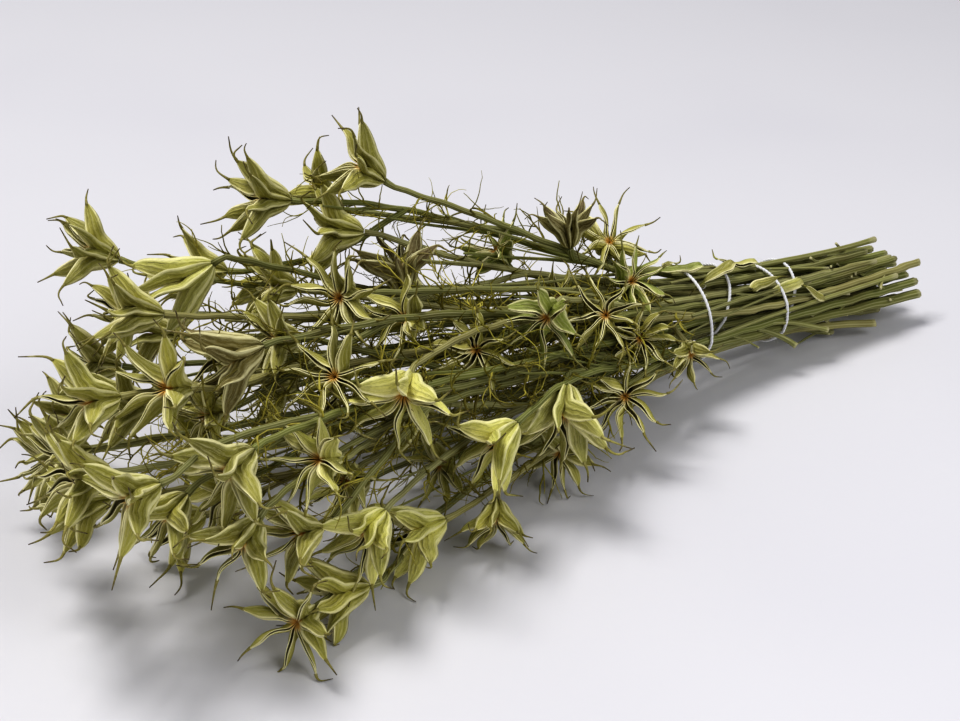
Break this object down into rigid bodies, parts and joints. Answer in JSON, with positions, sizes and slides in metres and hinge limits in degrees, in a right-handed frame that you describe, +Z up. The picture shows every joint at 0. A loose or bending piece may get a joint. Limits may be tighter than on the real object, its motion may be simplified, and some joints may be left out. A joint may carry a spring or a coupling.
{
  "type": "dried seed pod bunch",
  "caption": "Bunch of dried love-in-a-mist stems lying on its side, with star-mouthed seed pods at one end and bound by a white cord near the cut ends.",
  "frame": {"origin": "centre of the bounding box at the surface that the bunch lies on", "axes": "+X along the bunch towards the cut ends, the pods towards -X, +Z up, +Y to the left of someone looking along +X"},
  "size_m": [0.486, 0.2176, 0.1501],
  "materials": {
    "dried_plant": "matt dried stems and papery pods, olive green to straw",
    "cord": "matt white thread-covered cord"
  },
  "bodies": {
    "root": {"spray_01": "dried_plant", "spray_02": "dried_plant", "spray_03": "dried_plant", "spray_04": "dried_plant", "spray_05": "dried_plant", "spray_06": "dried_plant", "spray_07": "dried_plant", "spray_08": "dried_plant", "spray_09": "dried_plant", "spray_10": "dried_plant", "spray_11": "dried_plant", "spray_12": "dried_plant", "spray_13": "dried_plant", "spray_14": "dried_plant", "spray_15": "dried_plant", "spray_16": "dried_plant", "spray_17": "dried_plant", "spray_18": "dried_plant", "spray_19": "dried_plant", "spray_20": "dried_plant", "spray_21": "dried_plant", "spray_22": "dried_plant", "spray_23": "dried_plant", "spray_24": "dried_plant", "spray_25": "dried_plant", "spray_26": "dried_plant", "spray_27": "dried_plant", "spray_28": "dried_plant", "spray_29": "dried_plant", "spray_30": "dried_plant", "spray_31": "dried_plant", "spray_32": "dried_plant", "spray_33": "dried_plant", "spray_34": "dried_plant", "spray_35": "dried_plant", "binding_cord": "cord"}
  },
  "joints": []
}
